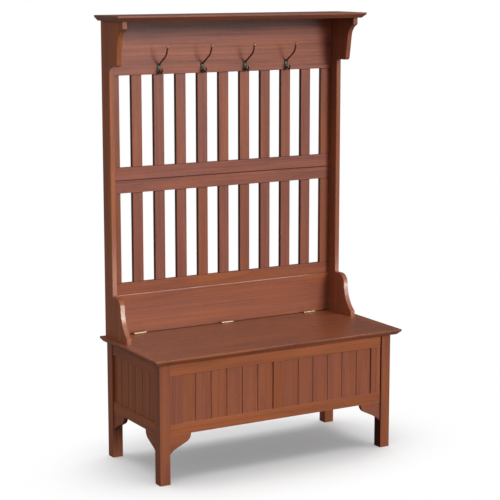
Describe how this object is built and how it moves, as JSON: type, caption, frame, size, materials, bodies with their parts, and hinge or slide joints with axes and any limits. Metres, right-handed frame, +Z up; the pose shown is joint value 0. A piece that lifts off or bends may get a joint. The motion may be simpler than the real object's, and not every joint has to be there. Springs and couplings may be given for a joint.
{
  "type": "hall tree bench",
  "caption": "Stained wood hall tree: a slatted coat rack with double hooks and a crown shelf on a storage bench with a hinged seat lid.",
  "frame": {"origin": "on the floor, under the middle of the object's box", "axes": "+X to the right of someone who faces the bench, +Y to the back, +Z up"},
  "size_m": [1.034, 0.463, 1.63],
  "materials": {
    "stained_wood": "red-brown satin stain",
    "hook_metal": "dark antique bronze",
    "hinge_brass": "satin brass"
  },
  "bodies": {
    "stand": {"back_board": "stained_wood", "box_floor": "stained_wood", "coat_hook_1": "hook_metal", "coat_hook_2": "hook_metal", "coat_hook_3": "hook_metal", "coat_hook_4": "hook_metal", "crown_shelf": "stained_wood", "foot_rail": "stained_wood", "front_bottom_rail": "stained_wood", "front_centre_muntin": "stained_wood", "front_left_bracket": "stained_wood", "front_left_leg": "stained_wood", "front_left_panel": "stained_wood", "front_left_stile": "stained_wood", "front_right_bracket": "stained_wood", "front_right_leg": "stained_wood", "front_right_panel": "stained_wood", "front_right_stile": "stained_wood", "front_top_rail": "stained_wood", "hook_rail": "stained_wood", "left_hinge_fixed_leaf": "hinge_brass", "left_hinge_pin": "hinge_brass", "left_seat_end": "stained_wood", "left_side_board": "stained_wood", "left_side_bottom_rail": "stained_wood", "left_side_front_bracket": "stained_wood", "left_side_panel": "stained_wood", "left_side_rear_bracket": "stained_wood", "left_side_top_rail": "stained_wood", "lower_left_end_strip": "stained_wood", "lower_mid_rail": "stained_wood", "lower_right_end_strip": "stained_wood", "lower_slats": "stained_wood", "middle_hinge_fixed_leaf": "hinge_brass", "middle_hinge_pin": "hinge_brass", "rear_bottom_rail": "stained_wood", "rear_left_leg": "stained_wood", "rear_panel": "stained_wood", "rear_right_leg": "stained_wood", "rear_top_rail": "stained_wood", "right_hinge_fixed_leaf": "hinge_brass", "right_hinge_pin": "hinge_brass", "right_seat_end": "stained_wood", "right_side_board": "stained_wood", "right_side_bottom_rail": "stained_wood", "right_side_front_bracket": "stained_wood", "right_side_panel": "stained_wood", "right_side_rear_bracket": "stained_wood", "right_side_top_rail": "stained_wood", "seat_rear_strip": "stained_wood", "upper_left_end_strip": "stained_wood", "upper_mid_rail": "stained_wood", "upper_right_end_strip": "stained_wood", "upper_slats": "stained_wood"},
    "lid": {"seat_lid": "stained_wood", "left_hinge_lid_leaf": "hinge_brass", "middle_hinge_lid_leaf": "hinge_brass", "right_hinge_lid_leaf": "hinge_brass"}
  },
  "joints": [
    {"name": "seat_lid_hinge", "type": "hinge", "parent": "stand", "child": "lid", "pos_m": [0, 0.191, 0.4628], "axis": [-1, 0, 0], "range_deg": [0, 93]}
  ]
}
